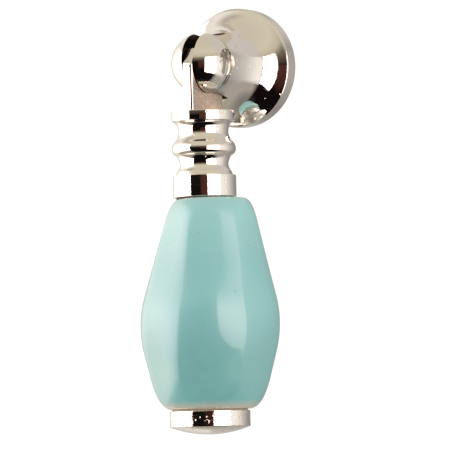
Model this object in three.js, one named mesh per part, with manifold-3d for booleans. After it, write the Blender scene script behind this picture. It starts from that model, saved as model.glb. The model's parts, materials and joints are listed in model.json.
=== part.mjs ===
// A drop pull for a drawer or cabinet door: a plated trumpet-shaped rosette whose post ends in a slotted ball,
// a hinge pin across the slot, and a pendant that swings on it. The pendant is a turned neck with a flat blade,
// a faceted glazed ceramic body threaded on a tie rod, and a round end cap.
// Millimetres, +Z up. The door's face is the plane y = 0, the post points along -Y, and the origin is the centre
// of the rosette's back face. The pendant hangs straight down.
import * as THREE from "three";
import { mergeVertices } from "three/addons/utils/BufferGeometryUtils.js";
import Module from "manifold-3d";

const wasm = await Module();
wasm.setup();

// ---- Driving dimensions ----
const AROUND = 44; // flats round each turned piece
const EDGE_BREAK = 0.2; // small chamfer on turned corners

const BASE_RADIUS = 11;
const RIM_THICKNESS = 3.2;
const LIP = { width: 0.35, drop: 0.2 }; // the bright edge between the rim and the flare
const FLARE = { outer: [7.2, 4.45], inner: [5.5, 7.6] }; // what pulls the trumpet's curve: radius, distance from door
const PIN_TO_DOOR = 15.8;
const BALL_RADIUS = 5.6;
const POST_RADIUS = 5.42; // where the post leaves the ball
const SLOT_WIDTH = 2.5;
const SLOT_BEHIND_PIN = 7.3;
const FIXING_HOLE_RADIUS = 1.65; // tapping size of an M4 thread
const FIXING_HOLE_DEPTH = 6.8;

const PIN_RADIUS = 1.5;
const PIN_HEAD_RADIUS = 2.44;
const PIN_HEAD_SEAT = 4.6; // from the ball's centre
const PIN_HEAD_EDGE = 4.95; // just inside the mouth of its seat
const PIN_HEAD_TOP = 5.52; // domed almost like the ball
const PIN_TAIL_FACE = -5.5;
const PIN_FIT = 0.06; // pin in the cheeks
const PIN_RUNNING_FIT = 0.1; // pin in the blade's eye

const BLADE_THICKNESS = 2.1;
const BLADE_TOP = { z: 2.75, bevelRun: 2.4, bevelFoot: -0.2 }; // flat end with two long bevels
const NECK_RADIUS = 5.78; // collar, ring and the blade's two narrow edges
const BLADE_FOOT = -8.72; // top face of the collar, from the pin's axis
const COLLAR_BOTTOM = -10.55;
// Each groove's edges and waist, and what pulls the curves between them: radius, height
const UPPER_GROOVE = { top: [5.4, -10.7], over: [4.62, -11.2], waist: [4.55, -12.5], under: [4.55, -13.55] };
const BEAD = { z: -15.68, centre: 4.6, width: 1.27, above: 1.63, below: 1.25, topAngle: 48, bottomAngle: 69.3 };
const LOWER_GROOVE = { over: [4.6, -17.35], waist: [4.43, -18.3], under: [4.43, -19.1], foot: [5, -19.78] };
const SHELF_RADIUS = 5.25; // between the lower groove and the ring
const RING_TOP = -20.45;
const RING_BOTTOM = -24.5;

const ROD_RADIUS = 2; // M4
const ROD_FIT = 0.08;
const ROD_TOP = -16.3;
const NECK_BORE_TOP = -16;

const WASHER_THICKNESS = 0.25;
const WASHER_BORE_RADIUS = 2.2;
const UPPER_WASHER_RADIUS = 5.3;
const LOWER_WASHER_RADIUS = 6.95;

const CERAMIC_HEIGHT = 38.4;
const CERAMIC_BORE_RADIUS = 2.7;
const CERAMIC_TOP_RADIUS = 5.9;
const CERAMIC_BOTTOM_RADIUS = 7;
const BELLY = { height: 15.5, radius: 13.42, half: 5.2 }; // where the two cones would meet, and its rounding
const UPPER_SLOPE = 0.264;
const LOWER_SLOPE = 0.25;
const UPPER_SHOULDER = 3.6; // height of the rounded ends
const LOWER_SHOULDER = 5.2;
const FACETS = 6;
const ROUND_SHARPNESS = 4; // a circle, and a large number is a plain hexagon
const FACET_SHARPNESS = 4.3; // added where the facets are crispest, between the belly and each end
const CREST_AZIMUTH = THREE.MathUtils.degToRad(2.4); // first crest, from -Y towards +X
const LOWER_TWIST = { angle: THREE.MathUtils.degToRad(17), upTo: 0.42 }; // the first crest wanders near the ends
const UPPER_TWIST = { angle: THREE.MathUtils.degToRad(6), from: 0.7 };
const CERAMIC_SHIFT = 0.3; // how far the body sits off the bore, towards +X
const CERAMIC_LEAN = 1.1; // how much further its top end sits off

const CAP_RADIUS = 7.35;
const CAP_SIDE = 2.9;
const CAP_DOME = 1.4;
const CAP_BORE_DEPTH = 3.1;

const PLATING = { color: 0xd9d5cc, roughness: 0.08, metalness: 1 };
const STEEL = { color: 0x9a9ca0, roughness: 0.35, metalness: 1 };
const GLAZE = { color: 0x8fcfc6, roughness: 0.12, metalness: 0 };
const RUBBER = { color: 0x8d8273, roughness: 0.8, metalness: 0 };

// ---- Solids ----

// A closed geometry as a solid that can be joined and cut.
function solid(geometry) {
  const bare = geometry.clone();
  bare.deleteAttribute("normal");
  bare.deleteAttribute("uv");
  const merged = mergeVertices(bare, 1e-4);
  const mesh = new wasm.Mesh({
    numProp: 3,
    vertProperties: merged.getAttribute("position").array,
    triVerts: new Uint32Array(merged.index.array),
  });
  return new wasm.Manifold(mesh);
}

// A named mesh made from a solid.
function piece(name, shape, finish) {
  const { vertProperties, triVerts } = shape.getMesh();
  const geometry = new THREE.BufferGeometry();
  geometry.setAttribute("position", new THREE.BufferAttribute(vertProperties, 3));
  geometry.setIndex(new THREE.BufferAttribute(triVerts, 1));
  geometry.computeVertexNormals();
  const mesh = new THREE.Mesh(geometry, new THREE.MeshStandardMaterial(finish));
  mesh.name = name;
  return mesh;
}

// Turns a profile of (radius, height) points about the Z axis. The profile runs upwards, from axis to axis.
function turned(points, around = AROUND) {
  return new THREE.LatheGeometry(points, around).rotateX(Math.PI / 2);
}

// A plain round bar about the Z axis.
function bar(radius, bottom, top, around = AROUND) {
  const corners = [
    [0, bottom],
    [radius, bottom],
    [radius, top],
    [0, top],
  ];
  return turned(
    corners.map(([r, z]) => new THREE.Vector2(r, z)),
    around,
  );
}

// A round bar about the X axis.
function crossBar(radius, from, to, around = 28) {
  return bar(radius, from, to, around).rotateY(Math.PI / 2);
}

function block(width, depth, height, x, y, z) {
  return new THREE.BoxGeometry(width, depth, height).translate(x, y, z);
}

// ---- Rosette, post and slotted ball: one turned and slotted piece ----
function rosettePost() {
  const mouth = PIN_TO_DOOR - SLOT_BEHIND_PIN;
  const join = Math.asin(POST_RADIUS / BALL_RADIUS);
  const joinHeight = PIN_TO_DOOR - BALL_RADIUS * Math.cos(join);
  const lip = BASE_RADIUS - LIP.width;
  const profile = new THREE.Path();
  profile.moveTo(0, 0);
  profile.lineTo(BASE_RADIUS - EDGE_BREAK, 0);
  profile.lineTo(BASE_RADIUS, EDGE_BREAK);
  profile.lineTo(BASE_RADIUS, RIM_THICKNESS - LIP.drop);
  profile.lineTo(lip, RIM_THICKNESS);
  profile.bezierCurveTo(...FLARE.outer, ...FLARE.inner, POST_RADIUS, joinHeight);
  profile.absarc(0, PIN_TO_DOOR, BALL_RADIUS, join - Math.PI / 2, Math.PI / 2, false);
  const body = solid(turned(profile.getPoints(11)).rotateX(Math.PI / 2));

  const reach = BALL_RADIUS + 1;
  const slotLength = SLOT_BEHIND_PIN + reach;
  const slot = block(SLOT_WIDTH, slotLength, 4 * reach, 0, -mouth - slotLength / 2, 0);
  const eye = crossBar(PIN_RADIUS + PIN_FIT, -reach, reach).translate(0, -PIN_TO_DOOR, 0);
  const seat = crossBar(PIN_HEAD_RADIUS + PIN_FIT, PIN_HEAD_SEAT, reach, AROUND).translate(0, -PIN_TO_DOOR, 0);
  const fixing = bar(FIXING_HOLE_RADIUS, -1, FIXING_HOLE_DEPTH, 28).rotateX(Math.PI / 2);
  return body.subtract(solid(slot)).subtract(solid(eye)).subtract(solid(seat)).subtract(solid(fixing));
}

// ---- Hinge pin: a headed rivet across the slot ----
function hingePin() {
  const dome = PIN_HEAD_TOP - PIN_HEAD_EDGE;
  const corners = [
    [0, PIN_TAIL_FACE],
    [PIN_RADIUS - EDGE_BREAK, PIN_TAIL_FACE],
    [PIN_RADIUS, PIN_TAIL_FACE + EDGE_BREAK],
    [PIN_RADIUS, PIN_HEAD_SEAT],
    [PIN_HEAD_RADIUS, PIN_HEAD_SEAT],
    ...[1, 0.8, 0.55, 0.25, 0].map((share) => [PIN_HEAD_RADIUS * share, PIN_HEAD_TOP - dome * share ** 2]),
  ];
  const profile = corners.map(([r, x]) => new THREE.Vector2(r, x));
  return solid(turned(profile, 28).rotateY(Math.PI / 2).translate(0, -PIN_TO_DOOR, 0));
}

// A point on the bead's outline. Its upper and lower halves differ in height.
function beadEdge(degrees, height) {
  const angle = THREE.MathUtils.degToRad(degrees);
  return [BEAD.centre + BEAD.width * Math.cos(angle), BEAD.z + height * Math.sin(angle)];
}

// ---- Neck: collar, two grooves, bead and ring turned from bar, with the bar's end milled to a blade ----
function neckBody() {
  const { degToRad } = THREE.MathUtils;
  const profile = new THREE.Path();
  profile.moveTo(0, RING_BOTTOM);
  profile.lineTo(NECK_RADIUS - EDGE_BREAK, RING_BOTTOM);
  profile.lineTo(NECK_RADIUS, RING_BOTTOM + EDGE_BREAK);
  profile.lineTo(NECK_RADIUS, RING_TOP - EDGE_BREAK);
  profile.lineTo(NECK_RADIUS - EDGE_BREAK, RING_TOP);
  profile.lineTo(SHELF_RADIUS, RING_TOP);
  profile.lineTo(...LOWER_GROOVE.foot);
  profile.quadraticCurveTo(...LOWER_GROOVE.under, ...LOWER_GROOVE.waist);
  profile.quadraticCurveTo(...LOWER_GROOVE.over, ...beadEdge(-BEAD.bottomAngle, BEAD.below));
  profile.absellipse(BEAD.centre, BEAD.z, BEAD.width, BEAD.below, degToRad(-BEAD.bottomAngle), 0, false);
  profile.absellipse(BEAD.centre, BEAD.z, BEAD.width, BEAD.above, 0, degToRad(BEAD.topAngle), false);
  profile.quadraticCurveTo(...UPPER_GROOVE.under, ...UPPER_GROOVE.waist);
  profile.quadraticCurveTo(...UPPER_GROOVE.over, ...UPPER_GROOVE.top);
  profile.lineTo(NECK_RADIUS - EDGE_BREAK, COLLAR_BOTTOM);
  profile.lineTo(NECK_RADIUS, COLLAR_BOTTOM + EDGE_BREAK);
  profile.lineTo(NECK_RADIUS, BLADE_FOOT - EDGE_BREAK);
  profile.lineTo(NECK_RADIUS - EDGE_BREAK, BLADE_FOOT);
  profile.lineTo(0, BLADE_FOOT);
  return solid(turned(profile.getPoints(4)));
}

function blade() {
  const sunk = BLADE_FOOT - 0.5; // runs into the collar
  const outline = new THREE.Shape();
  outline.moveTo(-NECK_RADIUS, sunk);
  outline.lineTo(NECK_RADIUS, sunk);
  outline.lineTo(NECK_RADIUS, BLADE_TOP.bevelFoot);
  outline.lineTo(NECK_RADIUS - BLADE_TOP.bevelRun, BLADE_TOP.z);
  outline.lineTo(BLADE_TOP.bevelRun - NECK_RADIUS, BLADE_TOP.z);
  outline.lineTo(-NECK_RADIUS, BLADE_TOP.bevelFoot);
  const plate = new THREE.ExtrudeGeometry(outline, { depth: BLADE_THICKNESS, bevelEnabled: false });
  plate.translate(0, 0, -BLADE_THICKNESS / 2); // outline in (y, z), thickness along x
  plate.rotateY(Math.PI / 2).rotateX(Math.PI / 2);
  return solid(plate).intersect(solid(bar(NECK_RADIUS, sunk, BLADE_TOP.z)));
}

function hangerNeck() {
  const eye = crossBar(PIN_RADIUS + PIN_RUNNING_FIT, -BALL_RADIUS, BALL_RADIUS);
  const bore = bar(ROD_RADIUS + ROD_FIT, RING_BOTTOM - 1, NECK_BORE_TOP, 28);
  return neckBody().add(blade()).subtract(solid(eye)).subtract(solid(bore)).translate(0, -PIN_TO_DOOR, 0);
}

// ---- Ceramic body ----
const CERAMIC_TOP = RING_BOTTOM - WASHER_THICKNESS;
const CERAMIC_BOTTOM = CERAMIC_TOP - CERAMIC_HEIGHT;
const CAP_TOP = CERAMIC_BOTTOM - WASHER_THICKNESS;
const CAP_BOTTOM = CAP_TOP - CAP_SIDE;

// The radius of a rounded hexagon of crest radius 1, at an azimuth from a crest.
function facetRadius(azimuth, sharpness) {
  const across = (angle) => {
    let sum = 0;
    for (let k = 0; k < FACETS / 2; k++) {
      const face = ((2 * k + 1) * Math.PI) / FACETS;
      sum += Math.abs(Math.cos(angle - face)) ** sharpness;
    }
    return sum ** (1 / sharpness);
  };
  return across(0) / across(azimuth);
}

// The facets are crisp between the belly and each end, and die away on the belly and at the ends.
function facetSharpness(share) {
  const fromEnd = (2 * Math.min(share, 1 - share)) ** 0.7;
  return ROUND_SHARPNESS + FACET_SHARPNESS * Math.sin(Math.PI * fromEnd) ** 2;
}

// Hand finishing moves the first crest round the body towards the ends, and its neighbours a little.
function twisted(azimuth, share) {
  const below = LOWER_TWIST.angle * Math.max(0, 1 - share / LOWER_TWIST.upTo);
  const above = UPPER_TWIST.angle * Math.max(0, (share - UPPER_TWIST.from) / (1 - UPPER_TWIST.from));
  return azimuth + (below + above) * ((1 + Math.cos(azimuth)) / 2) ** 4;
}

function ceramicProfile() {
  const upper = (h) => BELLY.radius - UPPER_SLOPE * (h - BELLY.height);
  const lower = (h) => BELLY.radius - LOWER_SLOPE * (BELLY.height - h);
  const shoulder = CERAMIC_HEIGHT - UPPER_SHOULDER;
  const bellyTop = BELLY.height + BELLY.half;
  const bellyBottom = BELLY.height - BELLY.half;
  const profile = new THREE.Path();
  profile.moveTo(0, 0);
  profile.lineTo(CERAMIC_BOTTOM_RADIUS, 0);
  profile.quadraticCurveTo(lower(0) - 0.15, 0, lower(LOWER_SHOULDER), LOWER_SHOULDER);
  profile.lineTo(lower(bellyBottom), bellyBottom);
  profile.quadraticCurveTo(BELLY.radius, BELLY.height, upper(bellyTop), bellyTop);
  profile.lineTo(upper(shoulder), shoulder);
  profile.quadraticCurveTo(upper(CERAMIC_HEIGHT) - 0.1, CERAMIC_HEIGHT, CERAMIC_TOP_RADIUS, CERAMIC_HEIGHT);
  profile.lineTo(0, CERAMIC_HEIGHT);
  return profile.getPoints(7);
}

function ceramicBody() {
  const geometry = turned(ceramicProfile());
  const position = geometry.getAttribute("position");
  for (let i = 0; i < position.count; i++) {
    const x = position.getX(i);
    const y = position.getY(i);
    const h = position.getZ(i);
    const share = Math.min(1, Math.max(0, h / CERAMIC_HEIGHT));
    const azimuth = Math.atan2(x, -y) - CREST_AZIMUTH;
    const scale = facetRadius(twisted(azimuth, share), facetSharpness(share));
    const onAxis = Math.hypot(x, y) < 1e-6;
    const lean = onAxis ? 0 : CERAMIC_SHIFT + CERAMIC_LEAN * share * share;
    position.setXY(i, x * scale + lean, y * scale);
  }
  const bore = bar(CERAMIC_BORE_RADIUS, -1, CERAMIC_HEIGHT + 1, 28);
  return solid(geometry).subtract(solid(bore)).translate(0, -PIN_TO_DOOR, CERAMIC_BOTTOM);
}

// ---- Tie rod, washers and end cap ----
function tieRod() {
  const bottom = CAP_TOP - CAP_BORE_DEPTH + 0.3;
  return solid(bar(ROD_RADIUS, bottom, ROD_TOP, 28).translate(0, -PIN_TO_DOOR, 0));
}

function washer(radius, bottom) {
  const disc = bar(radius, bottom, bottom + WASHER_THICKNESS);
  const bore = bar(WASHER_BORE_RADIUS, bottom - 1, bottom + 1, 28);
  return solid(disc).subtract(solid(bore)).translate(0, -PIN_TO_DOOR, 0);
}

function endCap() {
  const sag = (CAP_RADIUS ** 2 + CAP_DOME ** 2) / (2 * CAP_DOME); // radius of the shallow dome
  const edge = Math.asin(CAP_RADIUS / sag);
  const profile = new THREE.Path();
  profile.absarc(0, CAP_BOTTOM - CAP_DOME + sag, sag, -Math.PI / 2, -Math.PI / 2 + edge, false);
  profile.lineTo(CAP_RADIUS, CAP_TOP - EDGE_BREAK);
  profile.lineTo(CAP_RADIUS - EDGE_BREAK, CAP_TOP);
  profile.lineTo(0, CAP_TOP);
  const bore = bar(ROD_RADIUS + ROD_FIT, CAP_TOP - CAP_BORE_DEPTH, CAP_TOP + 1, 28);
  return solid(turned(profile.getPoints(4))).subtract(solid(bore)).translate(0, -PIN_TO_DOOR, 0);
}

// ---- Assembly ----
const base = new THREE.Group();
base.add(piece("rosette_post", rosettePost(), PLATING));
base.add(piece("hinge_pin", hingePin(), PLATING));

const pendant = new THREE.Group();
pendant.add(piece("hanger_neck", hangerNeck(), PLATING));
pendant.add(piece("tie_rod", tieRod(), STEEL));
pendant.add(piece("upper_washer", washer(UPPER_WASHER_RADIUS, CERAMIC_TOP), RUBBER));
pendant.add(piece("ceramic_body", ceramicBody(), GLAZE));
pendant.add(piece("lower_washer", washer(LOWER_WASHER_RADIUS, CAP_TOP), RUBBER));
pendant.add(piece("end_cap", endCap(), PLATING));

const group = new THREE.Group();
group.add(base, pendant);

export default group;
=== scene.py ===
"""Looks of a ceramic drop pull: plated rosette, slotted ball, pin and neck, glazed aqua body, end cap.

Every visible piece is a fine mesh that stands for its CAD node. Lengths are millimetres times MM.
"""

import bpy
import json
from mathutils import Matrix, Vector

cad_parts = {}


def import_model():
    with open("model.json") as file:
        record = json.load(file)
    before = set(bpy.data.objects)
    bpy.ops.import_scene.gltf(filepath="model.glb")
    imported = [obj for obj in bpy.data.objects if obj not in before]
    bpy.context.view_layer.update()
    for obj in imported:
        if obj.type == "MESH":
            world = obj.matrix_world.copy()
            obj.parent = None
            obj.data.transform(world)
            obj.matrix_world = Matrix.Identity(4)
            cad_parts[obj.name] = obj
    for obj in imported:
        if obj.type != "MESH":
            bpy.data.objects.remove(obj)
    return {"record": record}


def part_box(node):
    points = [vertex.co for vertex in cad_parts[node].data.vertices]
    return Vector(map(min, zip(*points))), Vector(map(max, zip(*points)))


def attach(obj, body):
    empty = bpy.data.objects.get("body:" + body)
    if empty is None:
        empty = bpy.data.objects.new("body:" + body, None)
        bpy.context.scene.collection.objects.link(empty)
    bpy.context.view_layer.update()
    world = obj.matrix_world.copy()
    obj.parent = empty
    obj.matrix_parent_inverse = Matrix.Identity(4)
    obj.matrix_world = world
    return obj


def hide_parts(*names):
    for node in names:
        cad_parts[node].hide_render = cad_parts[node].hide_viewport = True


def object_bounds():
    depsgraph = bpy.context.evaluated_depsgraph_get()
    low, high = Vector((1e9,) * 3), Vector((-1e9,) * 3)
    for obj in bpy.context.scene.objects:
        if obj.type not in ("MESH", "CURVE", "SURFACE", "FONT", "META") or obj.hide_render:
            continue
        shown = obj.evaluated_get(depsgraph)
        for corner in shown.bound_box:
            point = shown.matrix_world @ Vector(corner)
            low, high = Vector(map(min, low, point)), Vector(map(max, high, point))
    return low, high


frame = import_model()
cad_box = [list(corner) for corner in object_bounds()]

import json
import math

import bmesh
import bpy
from mathutils import Matrix, Vector

MM = 0.001
TINY = 1e-7
AROUND = 192  # steps round a turned piece

# ---- Sizes, in millimetres, from the hinge pin's axis unless said otherwise ----
PIN_AXIS = Vector(frame["record"]["behaviour"]["joints"][0]["pos_m"])
PIN_TO_DOOR = -PIN_AXIS.y / MM
EDGE = 0.2

BASE_RADIUS = 11
RIM_THICKNESS = 3.2
LIP_WIDTH, LIP_DROP = 0.35, 0.2
FLARE_OUTER, FLARE_INNER = (7.2, 4.45), (5.5, 7.6)
BALL_RADIUS = 5.6
POST_RADIUS = 5.42
SLOT_WIDTH = 2.5
SLOT_BEHIND_PIN = 7.3
THREAD_RADIUS = 2
THREAD_DEPTH = 0.36
THREAD_PITCH = 0.7
ROD_BORE_RADIUS = THREAD_RADIUS + 0.05
FIXING_HOLE_DEPTH = 6.8

PIN_RADIUS = 1.5
PIN_HOLE_RADIUS = PIN_RADIUS + 0.05
PIN_HEAD_RADIUS = 2.44
PIN_SEAT_RADIUS = PIN_HEAD_RADIUS + 0.06
PIN_HEAD_SEAT = 4.6
PIN_HEAD_EDGE = 4.95
PIN_HEAD_TOP = 5.52
PIN_TAIL_FACE = -5.5
PIN_TAIL_ROUND = 0.5
# A painted reflection: a dark brown band on the pin head's face.
PAINTED_REFLECTION_BAND = (-1.6, -0.8)  # where it lies on the head's face, from front to back
EYE_RADIUS = 1.6

BLADE_THICKNESS = 2.1
BLADE_TOP = 2.75
BEVEL_RUN = 2.4
BEVEL_FOOT = -0.2
BLADE_EDGE = 0.45
CORNER_CRISPNESS = 40  # of the blade's outline
NECK_RADIUS = 5.78
BLADE_FOOT = -8.72
COLLAR_BOTTOM = -10.55
UPPER_GROOVE = ((5.4, -10.7), (4.62, -11.2), (4.55, -12.5), (4.55, -13.55))
BEAD_CENTRE = (4.6, -15.68)
BEAD_WIDTH, BEAD_ABOVE, BEAD_BELOW = 1.27, 1.63, 1.25
BEAD_TOP_ANGLE, BEAD_BOTTOM_ANGLE = 48, -69.3
LOWER_GROOVE = ((4.6, -17.35), (4.43, -18.3), (4.43, -19.1), (5, -19.78))
SHELF_RADIUS = 5.25
RING_TOP, RING_BOTTOM = -20.45, -24.5
NECK_BORE_TOP = -16

CERAMIC_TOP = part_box("ceramic_body")[1].z / MM
CERAMIC_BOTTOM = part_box("ceramic_body")[0].z / MM
CERAMIC_HEIGHT = CERAMIC_TOP - CERAMIC_BOTTOM
CERAMIC_BORE_RADIUS = 2.7
CERAMIC_TOP_RADIUS = 5.9
CERAMIC_BOTTOM_RADIUS = 7
BELLY_HEIGHT, BELLY_RADIUS, BELLY_HALF = 15.5, 13.42, 5.2
UPPER_SLOPE, LOWER_SLOPE = 0.264, 0.25
UPPER_SHOULDER, LOWER_SHOULDER = 3.6, 5.2
FACETS = 6
ROUND_SHARPNESS, FACET_SHARPNESS = 4, 4.3
CREST_AZIMUTH = math.radians(2.4)
LOWER_TWIST, LOWER_TWIST_UP_TO = math.radians(17), 0.42
UPPER_TWIST, UPPER_TWIST_FROM = math.radians(6), 0.7
CERAMIC_SHIFT = 0.3
HAND_MADE = 0.035
CERAMIC_LEAN = 1.1

CAP_RADIUS = 7.35
CAP_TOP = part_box("end_cap")[1].z / MM
CAP_SIDE = 2.9
CAP_DOME = 1.4
CAP_BORE_DEPTH = 3.1


# ---- Profiles: lists of (radius, height) points ----
def arc(centre, radius, start, end, steps=8, height=None):
    """Points on a circle, or on an ellipse of another height, from start to end in degrees."""
    out = []
    for k in range(steps + 1):
        a = math.radians(start + (end - start) * k / steps)
        out.append((centre[0] + radius * math.cos(a), centre[1] + (height or radius) * math.sin(a)))
    return out


def bezier(*points, steps=24):
    """Points on a Bezier curve of any degree."""
    out = []
    for k in range(steps + 1):
        row = [Vector(p) for p in points]
        while len(row) > 1:
            row = [a.lerp(b, k / steps) for a, b in zip(row, row[1:])]
        out.append(tuple(row[0]))
    return out


def fillet(before, corner, after, radius, steps=5):
    """A rounded corner between two straight runs."""
    a = (Vector(before) - Vector(corner)).normalized()
    b = (Vector(after) - Vector(corner)).normalized()
    start, end = Vector(corner) + a * radius, Vector(corner) + b * radius
    return bezier(tuple(start), corner, tuple(end), steps=steps)


def thinned(profile):
    """The profile without points that fall on their neighbour."""
    out = [profile[0]]
    for p in profile[1:]:
        if (Vector(p) - Vector(out[-1])).length > 1e-4:
            out.append(p)
    return out


# ---- Meshes ----
def mesh_object(name, bm):
    bmesh.ops.recalc_face_normals(bm, faces=bm.faces)
    mesh = bpy.data.meshes.new(name)
    bm.to_mesh(mesh)
    bm.free()
    piece = bpy.data.objects.new(name, mesh)
    bpy.context.scene.collection.objects.link(piece)
    return piece


def turned(name, profile, around=AROUND, shape=None):
    """Turns a profile about the Z axis.

    Ends on the axis close in a pole, and other profiles close on themselves.
    shape(radius, height, angle) gives a point in place of the round one.
    """
    bm = bmesh.new()
    rings = []
    for radius, height in thinned(profile):
        if radius < TINY:
            rings.append([bm.verts.new((0, 0, height * MM))])
            continue
        ring = []
        for k in range(around):
            angle = math.tau * k / around
            x, y, z = radius * math.cos(angle), radius * math.sin(angle), height
            if shape:
                x, y, z = shape(radius, height, angle)
            ring.append(bm.verts.new((x * MM, y * MM, z * MM)))
        rings.append(ring)
    pairs = list(zip(rings, rings[1:]))
    if len(rings[0]) > 1 and len(rings[-1]) > 1:
        pairs.append((rings[-1], rings[0]))
    for low, high in pairs:
        for k in range(around if len(low) + len(high) > 2 else 0):
            n = (k + 1) % around
            corners = [low[k % len(low)], low[n % len(low)], high[n % len(high)], high[k % len(high)]]
            bm.faces.new(list(dict.fromkeys(corners)))
    return mesh_object(name, bm)


def slab(name, width, depth, height):
    """A block about the origin, to cut with."""
    bm = bmesh.new()
    bmesh.ops.create_cube(bm, size=1)
    bmesh.ops.scale(bm, vec=(width * MM, depth * MM, height * MM), verts=bm.verts)
    return mesh_object(name, bm)


def move(piece, matrix):
    piece.data.transform(matrix)
    return piece


def combine(piece, other, operation):
    """Cuts or joins a piece with another, which is used up."""
    step = piece.modifiers.new("combine", "BOOLEAN")
    step.object = other
    step.operation = operation
    step.solver = "EXACT"
    made = bpy.data.meshes.new_from_object(piece.evaluated_get(bpy.context.evaluated_depsgraph_get()))
    piece.modifiers.clear()
    old, piece.data = piece.data, made
    made.name = piece.name
    bpy.data.meshes.remove(old)
    bpy.data.meshes.remove(other.data)
    return piece


def put(piece, body, node, material, crease=32):
    """Smooths a piece, gives it its material, and lets it stand for its CAD node."""
    piece.data.materials.clear()
    piece.data.materials.append(material)
    piece.data.shade_smooth()
    piece.data.set_sharp_from_angle(angle=math.radians(crease))
    weighted = piece.modifiers.new("even shading", "WEIGHTED_NORMAL")
    weighted.keep_sharp = True
    weighted.weight = 50
    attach(piece, body)
    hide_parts(node)
    return piece


ALONG_POST = Matrix.Rotation(math.pi / 2, 4, "X")  # turns +Z to -Y
ALONG_PIN = Matrix.Rotation(math.pi / 2, 4, "Y")  # turns +Z to +X
TO_PIN = Matrix.Translation(PIN_AXIS)


def thread(name, bottom, top, lead_in=0.5):
    """A threaded rod along Z, for the tie rod and to cut the fixing hole."""
    steps_per_pitch = 8
    count = int((top - bottom) / THREAD_PITCH * steps_per_pitch)
    core = THREAD_RADIUS - THREAD_DEPTH
    profile = [(0, bottom)]
    profile += [(core, bottom + (top - bottom) * k / count) for k in range(count + 1)]
    profile += [(0, top)]

    def helix(radius, height, angle):
        turn = (height / THREAD_PITCH - angle / math.tau) % 1
        ridge = max(0, min(1, 1.5 - 3 * abs(turn - 0.5)))
        from_end = min(height - bottom, top - height)
        ridge *= max(0, min(1, from_end / lead_in))
        r = radius + THREAD_DEPTH * ridge
        return r * math.cos(angle), r * math.sin(angle), height

    return turned(name, profile, around=36, shape=helix)


# ---- Pieces ----
def rosette(material):
    """Rosette, trumpet flare, post and slotted ball."""
    join = math.degrees(math.asin(POST_RADIUS / BALL_RADIUS))
    join_height = PIN_TO_DOOR - BALL_RADIUS * math.cos(math.radians(join))
    lip = (BASE_RADIUS - LIP_WIDTH, RIM_THICKNESS)
    rim = (BASE_RADIUS, RIM_THICKNESS - LIP_DROP)
    profile = [(0, 0)]
    profile += fillet((0, 0), (BASE_RADIUS, 0), (BASE_RADIUS, 1), 0.3)
    profile += fillet((BASE_RADIUS, 0), rim, lip, 0.12)
    profile += fillet(rim, lip, FLARE_OUTER, 0.1)
    profile += bezier(lip, FLARE_OUTER, FLARE_INNER, (POST_RADIUS, join_height), steps=56)[2:]
    profile += arc((0, PIN_TO_DOOR), BALL_RADIUS, join - 90, 90, 44)
    piece = move(turned("rosette_and_ball", profile), ALONG_POST)

    reach = BALL_RADIUS + 1
    length = SLOT_BEHIND_PIN + reach
    slot = slab("slot", SLOT_WIDTH, length, 4 * reach)
    slot_middle = -PIN_TO_DOOR + SLOT_BEHIND_PIN - length / 2
    combine(piece, move(slot, Matrix.Translation((0, slot_middle * MM, 0))), "DIFFERENCE")
    for name, radius, foot, around in (
        ("pin_hole", PIN_HOLE_RADIUS, -reach, 64),
        ("seat", PIN_SEAT_RADIUS, PIN_HEAD_SEAT, 96),
    ):
        drill = turned(name, [(0, foot), (radius, foot), (radius, reach), (0, reach)], around)
        combine(piece, move(drill, TO_PIN @ ALONG_PIN), "DIFFERENCE")
    hole = thread("fixing_thread", -1, FIXING_HOLE_DEPTH)
    combine(piece, move(hole, ALONG_POST), "DIFFERENCE")
    return put(piece, "base", "rosette_post", material)


def pin(material):
    """Headed rivet, its tail slightly peened."""
    profile = [(0, PIN_TAIL_FACE)]
    tail_corner = (PIN_RADIUS, PIN_TAIL_FACE)
    tail_end = (PIN_RADIUS, PIN_TAIL_FACE + PIN_TAIL_ROUND)
    profile += bezier((PIN_RADIUS * 0.5, PIN_TAIL_FACE), tail_corner, tail_end, steps=8)
    head_foot, head_edge = (PIN_HEAD_RADIUS, PIN_HEAD_SEAT), (PIN_HEAD_RADIUS, PIN_HEAD_EDGE)
    profile += [(PIN_RADIUS, PIN_HEAD_SEAT), head_foot]
    dome = PIN_HEAD_TOP - PIN_HEAD_EDGE
    profile += fillet(head_foot, head_edge, (0, PIN_HEAD_TOP + dome), 0.08)
    for k in range(19, -1, -1):
        profile.append((PIN_HEAD_RADIUS * k / 20, PIN_HEAD_TOP - dome * (k / 20) ** 2))
    piece = move(turned("headed_pin", profile, 96), TO_PIN @ ALONG_PIN)
    return put(piece, "base", "hinge_pin", material)


def blade_edge(c, s, foot):
    """Distance from the eye's axis to the blade's edge, in a direction of cosine c and sine s."""
    side = NECK_RADIUS - 0.1
    rise = BLADE_TOP - BEVEL_FOOT
    bevel = (side * rise + BEVEL_FOOT * BEVEL_RUN) / max(abs(c) * rise + s * BEVEL_RUN, TINY)
    distances = (side / max(abs(c), TINY), bevel, (BLADE_TOP if s > 0 else -foot) / max(abs(s), TINY))
    return sum(d ** -CORNER_CRISPNESS for d in distances) ** (-1 / CORNER_CRISPNESS)


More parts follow.
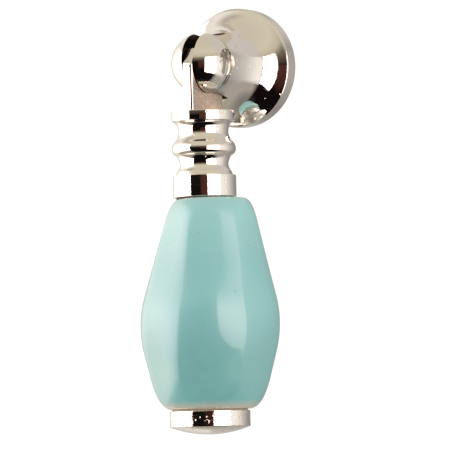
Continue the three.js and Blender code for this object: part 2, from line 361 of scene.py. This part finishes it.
def blade_plate():
    """The milled blade, built of sections round the eye's axis, each from the eye to the edge and back."""
    half = BLADE_THICKNESS / 2
    sunk = BLADE_FOOT - 0.6
    flat = half - BLADE_EDGE
    corner = math.degrees(math.atan2(-sunk, NECK_RADIUS))
    angles = [-9 + 1.5 * k for k in range(133)]
    angles += [189 + (corner - 9) * k / 10 for k in range(1, 11)]
    angles += [180 + corner + (180 - 2 * corner) * k / 16 for k in range(1, 16)]
    angles += [360 - corner + (corner - 9) * k / 10 for k in range(10)]
    bm = bmesh.new()
    loops = []
    for angle in angles:
        c, s = math.cos(math.radians(angle)), math.sin(math.radians(angle))
        edge = blade_edge(c, s, sunk)
        section = [(half, EYE_RADIUS + (edge - BLADE_EDGE - EYE_RADIUS) * k / 6) for k in range(7)]
        for k in range(1, 7):
            turn = math.pi / 2 * k / 6
            out = edge - BLADE_EDGE + BLADE_EDGE * math.sin(turn)
            section.append((flat + BLADE_EDGE * math.cos(turn), out))
        section += [(-x, r) for x, r in reversed(section)]
        loops.append([bm.verts.new((x * MM, r * c * MM, r * s * MM)) for x, r in section])
    for a, b in zip(loops, loops[1:] + loops[:1]):
        for k in range(len(a)):
            n = (k + 1) % len(a)
            bm.faces.new((a[k], a[n], b[n], b[k]))
    return mesh_object("blade", bm)


def neck(material):
    """Collar, grooves, bead and ring, joined to the blade, with the rod's bore from below."""
    collar_top = (NECK_RADIUS, BLADE_FOOT)
    bore_mouth = (ROD_BORE_RADIUS, RING_BOTTOM)
    profile = [bore_mouth]
    profile += fillet(bore_mouth, (NECK_RADIUS, RING_BOTTOM), (NECK_RADIUS, RING_TOP), EDGE)
    profile += fillet((NECK_RADIUS, RING_BOTTOM), (NECK_RADIUS, RING_TOP), (0, RING_TOP), EDGE)
    profile += [(SHELF_RADIUS, RING_TOP)]
    bead_top = arc(BEAD_CENTRE, BEAD_WIDTH, 0, BEAD_TOP_ANGLE, 20, BEAD_ABOVE)
    bead_bottom = arc(BEAD_CENTRE, BEAD_WIDTH, BEAD_BOTTOM_ANGLE, 0, 24, BEAD_BELOW)
    over, waist, under, foot = LOWER_GROOVE
    profile += fillet((SHELF_RADIUS, RING_TOP), foot, under, 0.08)
    profile += bezier(foot, under, waist)[2:]
    profile += bezier(waist, over, bead_bottom[0])[:-1]
    profile += bead_bottom + bead_top
    top, over, waist, under = UPPER_GROOVE
    profile += bezier(bead_top[-1], under, waist)[1:]
    profile += bezier(waist, over, top)
    profile += fillet((NECK_RADIUS - 1, COLLAR_BOTTOM), (NECK_RADIUS, COLLAR_BOTTOM), collar_top, 0.12)
    profile += fillet((NECK_RADIUS, COLLAR_BOTTOM), collar_top, (0, BLADE_FOOT), EDGE)
    profile += [(0, BLADE_FOOT), (0, NECK_BORE_TOP), (ROD_BORE_RADIUS, NECK_BORE_TOP)]
    piece = turned("neck_and_blade", profile)
    combine(piece, blade_plate(), "UNION")
    move(piece, TO_PIN)
    return put(piece, "pendant", "hanger_neck", material)


def facet_radius(azimuth, sharpness):
    """Radius of a rounded hexagon whose crest radius is 1."""
    def across(angle):
        faces = [(2 * k + 1) * math.pi / FACETS for k in range(FACETS // 2)]
        return sum(abs(math.cos(angle - f)) ** sharpness for f in faces) ** (1 / sharpness)
    return across(0) / across(azimuth)


def facet_sharpness(share):
    """The facets are crisp between the belly and each end, and die away on the belly and at the ends."""
    from_end = (2 * min(share, 1 - share)) ** 0.7
    return ROUND_SHARPNESS + FACET_SHARPNESS * math.sin(math.pi * from_end) ** 2


def twisted(azimuth, share):
    """Hand finishing moves the first crest round the body towards the ends, and its neighbours a little."""
    below = LOWER_TWIST * max(0, 1 - share / LOWER_TWIST_UP_TO)
    above = UPPER_TWIST * max(0, (share - UPPER_TWIST_FROM) / (1 - UPPER_TWIST_FROM))
    return azimuth + (below + above) * ((1 + math.cos(azimuth)) / 2) ** 4


def hand_made(azimuth, share):
    """Slow unevenness of a hand-finished body, in millimetres."""
    waves = math.sin(2 * azimuth + 5 * share + 0.6)
    waves += 0.6 * math.sin(3 * azimuth - 7 * share + 2.1)
    waves += 0.4 * math.sin(5 * azimuth + 9 * share)
    return HAND_MADE * 0.5 * waves * math.sin(math.pi * share)


def ceramic(material):
    """Faceted barrel with rounded ends and a through bore."""
    def upper(h):
        return BELLY_RADIUS - UPPER_SLOPE * (h - BELLY_HEIGHT)

    def lower(h):
        return BELLY_RADIUS - LOWER_SLOPE * (BELLY_HEIGHT - h)

    top = CERAMIC_HEIGHT
    shoulder = top - UPPER_SHOULDER
    belly_top, belly_bottom = BELLY_HEIGHT + BELLY_HALF, BELLY_HEIGHT - BELLY_HALF
    foot_end = (lower(LOWER_SHOULDER), LOWER_SHOULDER)
    belly_start, belly_end = (lower(belly_bottom), belly_bottom), (upper(belly_top), belly_top)
    shoulder_start = (upper(shoulder), shoulder)
    profile = [(CERAMIC_BORE_RADIUS, 0)]
    profile += bezier((CERAMIC_BOTTOM_RADIUS, 0), (lower(0) - 0.15, 0), foot_end, steps=26)
    profile += bezier(foot_end, belly_start, steps=16)
    profile += bezier(belly_start, (BELLY_RADIUS, BELLY_HEIGHT), belly_end, steps=30)
    profile += bezier(belly_end, shoulder_start, steps=34)
    profile += bezier(shoulder_start, (upper(top) - 0.1, top), (CERAMIC_TOP_RADIUS, top), steps=24)
    profile += [(CERAMIC_BORE_RADIUS, top)]

    def faceted(radius, height, angle):
        if radius < CERAMIC_BORE_RADIUS + 0.01:
            return radius * math.cos(angle), radius * math.sin(angle), height
        share = min(1, max(0, height / CERAMIC_HEIGHT))
        azimuth = angle + math.pi / 2 - CREST_AZIMUTH
        r = radius * facet_radius(twisted(azimuth, share), facet_sharpness(share))
        r += hand_made(azimuth, share) - HAND_MADE
        shift = CERAMIC_SHIFT + CERAMIC_LEAN * share * share
        return r * math.cos(angle) + shift, r * math.sin(angle), height

    piece = turned("glazed_body", profile, 288, faceted)
    move(piece, TO_PIN @ Matrix.Translation((0, 0, CERAMIC_BOTTOM * MM)))
    return put(piece, "pendant", "ceramic_body", material)


def cap(material):
    """Round cap nut with a shallow dome and a blind bore."""
    bottom = CAP_TOP - CAP_SIDE
    sag = (CAP_RADIUS ** 2 + CAP_DOME ** 2) / (2 * CAP_DOME)
    edge = math.degrees(math.asin(CAP_RADIUS / sag))
    bore_end = CAP_TOP - CAP_BORE_DEPTH
    dome = arc((0, bottom - CAP_DOME + sag), sag, -90, -90 + edge * 0.985, 40)
    profile = [(0, dome[0][1])] + dome[1:]
    profile += fillet(dome[-1], (CAP_RADIUS, bottom), (CAP_RADIUS, CAP_TOP), 0.14)
    profile += fillet((CAP_RADIUS, bottom), (CAP_RADIUS, CAP_TOP), (0, CAP_TOP), 0.18)
    profile += [(ROD_BORE_RADIUS, CAP_TOP), (ROD_BORE_RADIUS, bore_end), (0, bore_end)]
    piece = move(turned("cap_nut", profile), TO_PIN)
    return put(piece, "pendant", "end_cap", material)


def rod(material):
    low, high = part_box("tie_rod")
    piece = move(thread("threaded_rod", low.z / MM, high.z / MM), TO_PIN)
    return put(piece, "pendant", "tie_rod", material)


def washer(node, material):
    low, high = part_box(node)
    radius = (high.x - low.x) / 2 / MM
    bottom, top = low.z / MM, high.z / MM
    inner = 2.2
    bulge = (top - bottom) / 2
    profile = [(inner, bottom)]
    profile += arc((radius - bulge, bottom + bulge), bulge, -90, 90, 10)
    profile += [(inner, top)]
    piece = move(turned(node + "_ring", profile, 128), TO_PIN)
    return put(piece, "pendant", node, material)


# ---- Materials ----
def tree_of(name):
    material = bpy.data.materials.new(name)
    material.use_nodes = True
    tree = material.node_tree
    tree.nodes.clear()
    shader = tree.nodes.new("ShaderNodeBsdfPrincipled")
    output = tree.nodes.new("ShaderNodeOutputMaterial")
    tree.links.new(shader.outputs["BSDF"], output.inputs["Surface"])
    return material, tree, shader


def node(tree, kind, inputs=None, **settings):
    """A shader node. inputs maps socket names or numbers to sockets or values."""
    made = tree.nodes.new("ShaderNode" + kind)
    for key, value in settings.items():
        setattr(made, key, value)
    feed(tree, made, inputs or {})
    return made


def feed(tree, made, inputs):
    for key, value in inputs.items():
        if isinstance(value, bpy.types.NodeSocket):
            tree.links.new(value, made.inputs[key])
        else:
            made.inputs[key].default_value = value


def math_node(tree, operation, *values):
    return node(tree, "Math", dict(enumerate(values)), operation=operation).outputs[0]


def noise(tree, place, scale, detail=3.0, roughness=0.5):
    """Noise of one value. scale is features per metre."""
    made = node(tree, "TexNoise", {"Vector": place, "Scale": scale, "Detail": detail, "Roughness": roughness})
    return made.outputs["Fac"]


def ramp(tree, value, *stops, smooth=False):
    """Colours along a value. stops are (position, colour)."""
    made = node(tree, "ValToRGB", {"Fac": value})
    if smooth:
        made.color_ramp.interpolation = "EASE"
    elements = made.color_ramp.elements
    while len(elements) < len(stops):
        elements.new(0.5)
    for element, (position, colour) in zip(elements, stops):
        element.position = position
        element.color = (*colour, 1)
    return made.outputs["Color"]


def remap(tree, value, low, high, to_low=0.0, to_high=1.0):
    inputs = {"Value": value, "From Min": low, "From Max": high, "To Min": to_low, "To Max": to_high}
    return node(tree, "MapRange", inputs).outputs["Result"]


def mix(tree, share, a, b, blend="MIX"):
    made = node(tree, "Mix", data_type="RGBA", blend_type=blend)
    feed(tree, made, {"Factor": share, 6: a, 7: b})
    return made.outputs[2]


def bump(tree, height, distance, strength=1.0, normal=None):
    inputs = {"Height": height, "Distance": distance, "Strength": strength}
    if normal is not None:
        inputs["Normal"] = normal
    return node(tree, "Bump", inputs).outputs["Normal"]


def rgba(r, g, b):
    return (r, g, b, 1)


def grey(value):
    return (value, value, value)


def between(tree, value, low, high):
    """1 where the value lies between low and high."""
    above = math_node(tree, "GREATER_THAN", value, low)
    return math_node(tree, "MULTIPLY", above, math_node(tree, "LESS_THAN", value, high))


def plating(name, peel_depth, specks, raw_and_painted=None, raw_and_painted_colour=None):
    """Polished nickel plate: warm grey, with orange peel, cloudy handling haze and pits that scatter light.

    peel_depth is in millimetres, and specks is the share of pitted spots. The next argument, called with
    (tree, place), gives a mask,
    and the last its colour: an unpolished finish on the blade's flats, painted shade in the slot, scars and a
    painted reflection on the pin's head.
    """
    material, tree, shader = tree_of(name)
    place = node(tree, "TexCoord").outputs["Object"]
    clouds = noise(tree, place, 160, 4)
    peel = noise(tree, place, 2100, 2)
    grain = noise(tree, place, 4200, 3)
    cells = node(tree, "TexVoronoi", {"Vector": place, "Scale": 1500.0, "Randomness": 1.0}, feature="F1")
    chance = node(tree, "SeparateColor", {"Color": cells.outputs["Color"]}).outputs["Red"]
    hole = remap(tree, cells.outputs["Distance"], 0.1, 0.3, 1.0, 0.0)
    pit = math_node(tree, "MULTIPLY", hole, math_node(tree, "LESS_THAN", chance, specks))
    colour = mix(tree, clouds, rgba(0.87, 0.845, 0.80), rgba(0.82, 0.79, 0.74))
    colour = mix(tree, math_node(tree, "MULTIPLY", pit, 0.2), colour, rgba(0.42, 0.37, 0.31))
    haze = remap(tree, clouds, 0.35, 0.75, 0.02, 0.06)
    rough = math_node(tree, "ADD", haze, remap(tree, grain, 0.5, 0.75, 0.0, 0.03 + specks / 5))
    rough = node(tree, "Mix", {"Factor": pit, 2: rough, 3: 0.6}).outputs[0]
    # The mask's colour is a real unpolished finish on the flats, painted shade in the slot and partly a
    # painted reflection on the pin's head.
    if raw_and_painted:
        raw_and_painted_mask = raw_and_painted(tree, place)
        streaks = node(tree, "Mapping", {"Vector": place, "Scale": (1.0, 1.0, 0.3)}).outputs["Vector"]
        brushed = noise(tree, streaks, 4000, 3)
        dull_and_painted_dark = mix(tree, brushed, rgba(*raw_and_painted_colour), rgba(*(0.8 * c for c in raw_and_painted_colour)))
        colour = mix(tree, raw_and_painted_mask, colour, dull_and_painted_dark)
        dull_roughness = remap(tree, brushed, 0.3, 0.7, 0.3, 0.42)
        rough = node(tree, "Mix", {"Factor": raw_and_painted_mask, 2: rough, 3: dull_roughness}).outputs[0]
    normal = bump(tree, peel, peel_depth * MM)
    dent = node(tree, "Bump", {"Height": pit, "Distance": 0.04 * MM, "Normal": normal}, invert=True)
    feed(tree, shader, {
        "Base Color": colour,
        "Roughness": rough,
        "Normal": dent.outputs["Normal"],
        "Metallic": 1.0,
    })
    return material


def slot_painted_shade(tree, place):
    """The slot's two walls and its floor, painted near black as shade in the slot."""
    part = node(tree, "SeparateXYZ", {"Vector": place}).outputs
    wall = SLOT_WIDTH / 2 + 0.001
    floor = SLOT_BEHIND_PIN - PIN_TO_DOOR + 0.001
    inside = math_node(tree, "LESS_THAN", math_node(tree, "ABSOLUTE", part["X"]), wall * MM)
    return math_node(tree, "MULTIPLY", inside, math_node(tree, "LESS_THAN", part["Y"], floor * MM))


def blade_flats(tree, place):
    """The blade's two milled faces."""
    part = node(tree, "SeparateXYZ", {"Vector": place}).outputs
    half = BLADE_THICKNESS / 2
    flat = between(tree, math_node(tree, "ABSOLUTE", part["X"]), (half - 0.001) * MM, (half + 0.001) * MM)
    above_collar = math_node(tree, "GREATER_THAN", part["Z"], (BLADE_FOOT - 0.05) * MM)
    return math_node(tree, "MULTIPLY", flat, above_collar)


def scars_and_painted_reflection(tree, place):
    """Scarred spots on the upper half of the pin head's face, and a painted reflection: a dark brown band
    down its front.
    """
    part = node(tree, "SeparateXYZ", {"Vector": place}).outputs
    face = math_node(tree, "GREATER_THAN", part["X"], PIN_HEAD_EDGE * MM)
    upper = remap(tree, part["Z"], PIN_AXIS.z - 0.6 * MM, PIN_AXIS.z + 0.6 * MM)
    spots = math_node(tree, "MULTIPLY", upper, remap(tree, noise(tree, place, 1500, 3), 0.42, 0.55))
    start, end = (PIN_AXIS.y + edge * MM for edge in PAINTED_REFLECTION_BAND)
    reflection_band = math_node(tree, "MULTIPLY", between(tree, part["Y"], start, end), 0.75)
    return math_node(tree, "MULTIPLY", face, math_node(tree, "MAXIMUM", spots, reflection_band))


def glaze():
    """Aqua glaze: bare and cream at the foot, painted shade that makes it darker low down and lighter near
    the top, with mottling, pinholes and a wet gloss.
    """
    material, tree, shader = tree_of("aqua_glaze")
    place = node(tree, "TexCoord").outputs["Object"]
    height = node(tree, "SeparateXYZ", {"Vector": place}).outputs["Z"]
    low, high = (corner.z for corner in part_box("ceramic_body"))
    share = remap(tree, height, low, high)
    waver = noise(tree, place, 90, 3)
    share = math_node(tree, "ADD", share, remap(tree, waver, 0.0, 1.0, -0.012, 0.012))
    # Painted shade: the aqua darkens towards the bottom and lightens near the top. The first stops are the
    # bare cream foot.
    body = ramp(
        tree,
        share,
        (0.0, (0.66, 0.54, 0.40)),
        (0.016, (0.44, 0.52, 0.44)),
        (0.04, (0.188, 0.495, 0.478)),
        (0.2, (0.20, 0.512, 0.49)),
        (0.33, (0.225, 0.545, 0.53)),
        (0.47, (0.258, 0.60, 0.585)),
        (0.7, (0.262, 0.602, 0.595)),
        (0.93, (0.335, 0.69, 0.655)),
        (0.99, (0.36, 0.66, 0.61)),
        (1.0, (0.36, 0.56, 0.50)),
    )
    mottle = noise(tree, place, 420, 5, 0.6)
    body = mix(tree, remap(tree, mottle, 0.35, 0.7, 0.0, 0.12), body, rgba(0.36, 0.66, 0.63))
    cells = node(tree, "TexVoronoi", {"Vector": place, "Scale": 210.0, "Randomness": 1.0}, feature="F1")
    pinhole = remap(tree, cells.outputs["Distance"], 0.03, 0.06)
    body = mix(tree, remap(tree, pinhole, 0.0, 1.0, 0.35, 0.0), body, rgba(0.12, 0.27, 0.26))
    craters = node(tree, "TexVoronoi", {"Vector": place, "Scale": 105.0, "Randomness": 1.0}, feature="F1")
    crater = remap(tree, craters.outputs["Distance"], 0.0, 0.075)
    waves = noise(tree, place, 110, 2)
    normal = bump(tree, waves, 0.03 * MM)
    normal = bump(tree, pinhole, 0.03 * MM, 0.7, normal)
    normal = bump(tree, crater, 0.06 * MM, 0.7, normal)
    feed(tree, shader, {
        "Base Color": body,
        "Roughness": remap(tree, mottle, 0.3, 0.8, 0.36, 0.44),
        "Normal": normal,
        "IOR": 1.52,
        "Coat Weight": 1.0,
        "Coat IOR": 1.52,
        "Coat Roughness": remap(tree, mottle, 0.3, 0.8, 0.05, 0.1),
        "Coat Normal": normal,
    })
    return material


def rubber(name, dark, light):
    """Cushion rubber with a dusty grain. The washers use a dark and a pale copy of it, as painted shade and
    painted light.
    """
    material, tree, shader = tree_of(name)
    place = node(tree, "TexCoord").outputs["Object"]
    grain = noise(tree, place, 2500, 4)
    colour = mix(tree, grain, rgba(*dark), rgba(*light))
    feed(tree, shader, {
        "Base Color": colour,
        "Roughness": remap(tree, grain, 0.3, 0.7, 0.65, 0.85),
        "Normal": bump(tree, grain, 0.02 * MM),
    })
    return material


def zinc():
    """Zinc-plated thread: blue-grey, satin, with a faint yellow bloom."""
    material, tree, shader = tree_of("zinc_steel")
    place = node(tree, "TexCoord").outputs["Object"]
    bloom = noise(tree, place, 300, 3)
    colour = mix(tree, bloom, rgba(0.50, 0.52, 0.55), rgba(0.58, 0.55, 0.46))
    feed(tree, shader, {
        "Base Color": colour,
        "Metallic": 1.0,
        "Roughness": remap(tree, bloom, 0.3, 0.7, 0.28, 0.42),
        "Normal": bump(tree, noise(tree, place, 3000), 0.01 * MM),
    })
    return material


# ---- Studio ----
VIEW_AZIMUTH = 29.0  # from straight in front towards +X, degrees
VIEW_ELEVATION = -3.0
VIEW_ROLL = 1.35
DISTANCE = 0.95
LENS = 416.0
AIM_RIGHT, AIM_DOWN = 4.22, 29.46  # from the pin's axis to the middle of the picture
NEAR_PANEL, FAR_PANEL = 0.18, 0.30  # metres from the pull
CORNER_SHARE = 0.3  # of a panel's width, taken by its rounded corners
FLOOR_RADIUS, DOME_RADIUS = 2.6, 2.7
FLOOR_DROP = 0.09  # below the pull


def direction(azimuth, elevation):
    a, e = math.radians(azimuth), math.radians(elevation)
    return Vector((math.sin(a) * math.cos(e), -math.cos(a) * math.cos(e), math.sin(e)))


def camera():
    back = direction(VIEW_AZIMUTH, VIEW_ELEVATION)
    right = Vector((0, 0, 1)).cross(back).normalized()
    up = back.cross(right)
    roll = math.radians(VIEW_ROLL)
    right, up = right * math.cos(roll) - up * math.sin(roll), up * math.cos(roll) + right * math.sin(roll)
    aim = PIN_AXIS + right * AIM_RIGHT * MM - up * AIM_DOWN * MM
    data = bpy.data.cameras.new("camera")
    data.lens = LENS
    data.clip_start, data.clip_end = 0.01, 20
    made = bpy.data.objects.new("camera", data)
    turn = Matrix((right, up, back)).transposed().to_4x4()
    made.matrix_world = Matrix.Translation(aim + back * DISTANCE) @ turn
    bpy.context.scene.collection.objects.link(made)
    bpy.context.scene.camera = made


def glow(name, across, up, strength=1.0):
    """An emission that changes from one side of a panel to the other, and from its foot to its top."""
    material = bpy.data.materials.new(name)
    material.use_nodes = True
    tree = material.node_tree
    tree.nodes.clear()
    part = node(tree, "SeparateXYZ", {"Vector": node(tree, "UVMap", uv_map="across").outputs["UV"]}).outputs
    colour = mix(tree, 1.0, ramp(tree, part["X"], *across), ramp(tree, part["Y"], *up), "MULTIPLY")
    emission = node(tree, "Emission", {"Color": colour, "Strength": strength})
    output = tree.nodes.new("ShaderNodeOutputMaterial")
    tree.links.new(emission.outputs[0], output.inputs["Surface"])
    return material


def panel(name, azimuths, elevations, distance, material, left_height=1.0):
    """A curved screen that spans these angles seen from the pull.

    Azimuths are counted from the camera to the right. left_height is the height of its left edge as a share
    of the full height, with rounded corners up to there.
    """
    columns_across, rows_up = 24, 8
    centre = sum(elevations) / 2
    middle = Vector((0, PIN_AXIS.y, PIN_AXIS.z - AIM_DOWN * MM))
    bm = bmesh.new()
    columns = []
    for k in range(columns_across + 1):
        across = k / columns_across
        azimuth = VIEW_AZIMUTH + azimuths[0] + (azimuths[1] - azimuths[0]) * across
        to_corner = max(0, 1 - across / CORNER_SHARE)
        height = left_height + (1 - left_height) * math.sqrt(1 - to_corner ** 2)
        foot, top = (direction(azimuth, centre + (e - centre) * height) * distance for e in elevations)
        rows = [middle + foot.lerp(top, j / rows_up) for j in range(rows_up + 1)]
        columns.append([bm.verts.new(point) for point in rows])
    layer = bm.loops.layers.uv.new("across")
    for k in range(columns_across):
        for j in range(rows_up):
            face = bm.faces.new((columns[k][j], columns[k + 1][j], columns[k + 1][j + 1], columns[k][j + 1]))
            for loop, (across, up) in zip(face.loops, ((0, 0), (1, 0), (1, 1), (0, 1))):
                loop[layer].uv = ((k + across) / columns_across, (j + up) / rows_up)
    made = mesh_object(name, bm)
    made.data.materials.append(material)
    made.visible_camera = False
    made.visible_diffuse = False
    made.visible_shadow = False


def soft_boxes():
    """Two soft boxes, a pale screen and a dark red curtain, which only reflections see.

    The backdrop lights the glaze. The panels stand close, so the ball sees them lower than the ceramic does.
    """
    left = glow(
        "left_light",
        (
            (0, (0.30, 0.28, 0.26)),
            (0.25, (0.46, 0.40, 0.36)),
            (0.5, (0.82, 0.67, 0.62)),
            (0.75, (1, 0.80, 0.75)),
            (1, (0.80, 0.66, 0.62)),
        ),
        (
            (0, grey(0.25)),
            (0.12, grey(0.7)),
            (0.45, grey(1)),
            (0.6, grey(1)),
            (0.8, grey(0.75)),
            (1, grey(0.6)),
        ),
        4.3,
    )
    right = glow(
        "right_light",
        ((0, (1, 0.78, 0.73)), (1, (1, 0.78, 0.73))),
        ((0, grey(0.7)), (0.3, grey(1)), (0.57, grey(1)), (0.8, grey(0.72)), (1, grey(0.4))),
        3.9,
    )
    cream = glow(
        "cream_light",
        (
            (0, (1.15, 1.06, 1.0)),
            (0.25, (1.1, 1.02, 0.96)),
            (0.5, (1.0, 0.94, 0.88)),
            (0.8, (0.82, 0.76, 0.71)),
            (1, (0.68, 0.63, 0.58)),
        ),
        ((0, grey(0.5)), (0.18, grey(1)), (1, grey(0.93))),
    )
    curtain = glow(
        "dark_red_curtain",
        ((0, (0.065, 0.028, 0.02)), (0.3, (0.08, 0.027, 0.021)), (1, (0.095, 0.036, 0.028))),
        ((0, grey(0.15)), (0.4, grey(0.7)), (0.8, grey(1)), (1, (1, 1.1, 1.1))),
    )
    panel("left_box", (-150, -52), (-34, 38), FAR_PANEL, left)
    panel("right_box", (11, 60), (-29.5, 31), NEAR_PANEL, right, left_height=0.82)
    panel("cream_screen", (61.5, 105), (-33, 30), NEAR_PANEL, cream)
    panel("curtain", (-14, 10.5), (-16, 14), NEAR_PANEL, curtain)


def towards_camera(tree, place):
    """How far a place or direction lies towards the camera."""
    inputs = {0: place, 1: direction(VIEW_AZIMUTH, 0)}
    return node(tree, "VectorMath", inputs, operation="DOT_PRODUCT").outputs["Value"]


def world():
    """What reflections see beyond the panels: a dark room round the camera, a tan ceiling and pale sides."""
    made = bpy.data.worlds.new("studio")
    bpy.context.scene.world = made
    made.use_nodes = True
    tree = made.node_tree
    tree.nodes.clear()
    towards = node(tree, "TexCoord").outputs["Generated"]
    up = node(tree, "SeparateXYZ", {"Vector": towards}).outputs["Z"]
    facing = towards_camera(tree, towards)
    rightward = direction(VIEW_AZIMUTH + 90, 0)
    side = node(tree, "VectorMath", {0: towards, 1: rightward}, operation="DOT_PRODUCT").outputs["Value"]
    azimuth = math_node(tree, "ARCTAN2", side, facing)
    front = ramp(
        tree,
        remap(tree, up, -1, 1),
        (0.0, (0.03, 0.024, 0.02)),
        (0.06, (0.006, 0.004, 0.004)),
        (0.53, (0.005, 0.004, 0.004)),
        (0.587, (0.11, 0.085, 0.065)),
        (0.63, (0.18, 0.145, 0.11)),
        (0.67, (0.38, 0.33, 0.26)),
        (0.69, (0.56, 0.50, 0.39)),
        (0.73, (0.64, 0.58, 0.45)),
        (0.82, (0.74, 0.68, 0.53)),
        (1.0, (0.68, 0.62, 0.50)),
    )
    right = ramp(
        tree,
        remap(tree, azimuth, 0, math.pi),
        (0.583, (0.68, 0.63, 0.58)),
        (0.62, (0.59, 0.55, 0.52)),
        (0.75, (0.355, 0.33, 0.31)),
        (0.83, (0.30, 0.28, 0.26)),
        (0.92, (0.36, 0.33, 0.30)),
        (1.0, (0.60, 0.57, 0.53)),
    )
    left = mix(tree, remap(tree, facing, -0.85, -1), rgba(0.95, 0.89, 0.83), rgba(0.60, 0.57, 0.53))
    on_right = math_node(tree, "GREATER_THAN", side, 0.0)
    sides = mix(tree, on_right, left, right)
    over = mix(tree, on_right, rgba(0.56, 0.50, 0.42), rgba(0.68, 0.62, 0.575))
    sides = mix(tree, remap(tree, up, 0.34, 0.5), sides, mix(tree, on_right, left, over))
    sides = mix(tree, remap(tree, up, 0.66, 0.78), sides, over)
    sides = mix(tree, remap(tree, up, 0.83, 0.88), sides, rgba(0.68, 0.62, 0.50))
    under = mix(tree, on_right, rgba(0.42, 0.38, 0.31), rgba(0.44, 0.39, 0.35))
    sides = mix(tree, remap(tree, up, -0.5, -0.62), sides, under)
    sides = mix(tree, remap(tree, up, -0.8, -0.97), sides, rgba(0.24, 0.22, 0.20))
    turned_away = remap(tree, math_node(tree, "ABSOLUTE", azimuth), math.radians(55), math.radians(78))
    colour = mix(tree, turned_away, front, sides)
    background = node(tree, "Background", {"Color": colour, "Strength": 1.0})
    output = tree.nodes.new("ShaderNodeOutputWorld")
    tree.links.new(background.outputs[0], output.inputs["Surface"])


def surroundings():
    """Pale floor and a white dome round it. Reflections don't see them, but see the world and the panels."""
    bm = bmesh.new()
    bmesh.ops.create_circle(bm, cap_ends=True, segments=96, radius=FLOOR_RADIUS)
    floor = mesh_object("floor", bm)
    floor.location.z = cad_box[0][2] - FLOOR_DROP
    material, tree, shader = tree_of("pale_floor")
    place = node(tree, "TexCoord").outputs["Object"]
    tone = mix(tree, noise(tree, place, 6, 2), rgba(0.80, 0.80, 0.79), rgba(0.86, 0.86, 0.85))
    feed(tree, shader, {"Base Color": tone, "Roughness": 0.9})
    floor.data.materials.append(material)

    bm = bmesh.new()
    bmesh.ops.create_uvsphere(bm, u_segments=64, v_segments=32, radius=DOME_RADIUS)
    dome = mesh_object("backdrop", bm)
    material = bpy.data.materials.new("white_backdrop")
    material.use_nodes = True
    tree = material.node_tree
    tree.nodes.clear()
    place = node(tree, "TexCoord").outputs["Object"]
    height = node(tree, "SeparateXYZ", {"Vector": place}).outputs["Z"]
    share = remap(tree, height, -DOME_RADIUS, DOME_RADIUS)
    shade = ramp(tree, share, (0, grey(0.5)), (0.42, grey(1)), (1, grey(1)))
    behind_camera = remap(tree, towards_camera(tree, place), 0.9, 2.4, 0.0, 0.5)
    shade = mix(tree, behind_camera, shade, rgba(0, 0, 0))
    emission = node(tree, "Emission", {"Color": shade, "Strength": 1.08})
    output = tree.nodes.new("ShaderNodeOutputMaterial")
    tree.links.new(emission.outputs[0], output.inputs["Surface"])
    dome.data.materials.append(material)
    for made in (floor, dome):
        made.visible_glossy = False
    dome.visible_shadow = False


def main():
    # The slot's walls and floor are painted near black: painted shade in the recess.
    rosette(plating("plate_with_painted_shade_slot", 0.007, 0.08, slot_painted_shade, (0.05, 0.035, 0.025)))
    # The brown band down the front of the pin's head is a painted reflection.
    pin(plating("peened_plate_with_painted_band", 0.04, 0.4, scars_and_painted_reflection, (0.26, 0.22, 0.15)))
    neck(plating("plate_with_milled_flats", 0.0045, 0.1, blade_flats, (0.50, 0.43, 0.36)))
    ceramic(glaze())
    cap(plating("pitted_plate", 0.02, 0.75))
    rod(zinc())
    # Both washers are one rubber: the upper one is coloured dark as painted shade at its joint, and the lower
    # one pale as painted light.
    washer("upper_washer", rubber("rubber_painted_shade", (0.16, 0.12, 0.09), (0.28, 0.22, 0.17)))
    washer("lower_washer", rubber("rubber_painted_light", (0.70, 0.60, 0.48), (0.84, 0.75, 0.62)))
    world()
    soft_boxes()
    surroundings()
    camera()
    bpy.context.scene.view_settings.view_transform = "Standard"


main()
